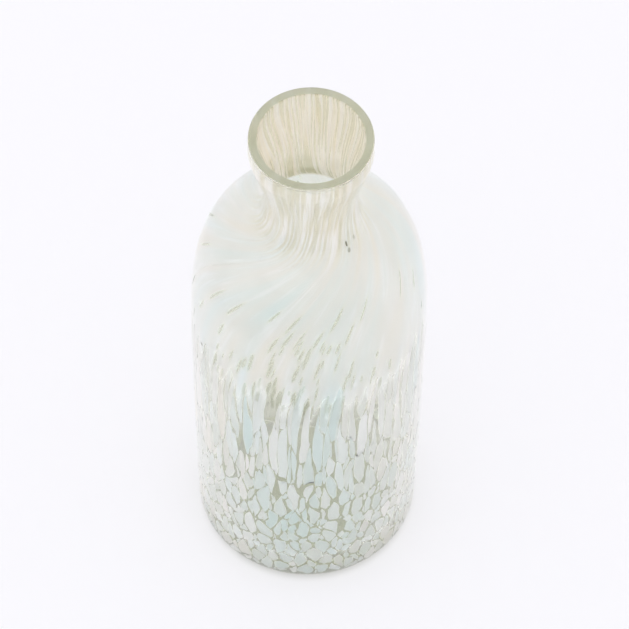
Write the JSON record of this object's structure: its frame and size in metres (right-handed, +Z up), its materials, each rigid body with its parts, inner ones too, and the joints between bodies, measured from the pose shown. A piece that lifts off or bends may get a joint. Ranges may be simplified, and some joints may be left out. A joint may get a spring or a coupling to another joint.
{
  "type": "bottle vase",
  "caption": "Hand-blown glass bottle vase with a flared collar, ground flat lip, round shoulder and straight body, clear pale green glass under twisted white opal chips.",
  "frame": {"origin": "centre of the foot, on the surface that the vase stands on", "axes": "+Z up along the axis of the turned form, out of the mouth; X and Y are free, because the form is turned"},
  "size_m": [0.0808, 0.0808, 0.218],
  "materials": {
    "clear_green_glass": "clear pale olive-green blown glass, fire-polished, ground flat at the lip",
    "opal_glass": "white opal glass chips with a faint pale blue and lilac iridescence, glossy"
  },
  "bodies": {
    "root": {"glass_vessel": "clear_green_glass", "opal_chip_layer": "opal_glass"}
  },
  "joints": []
}
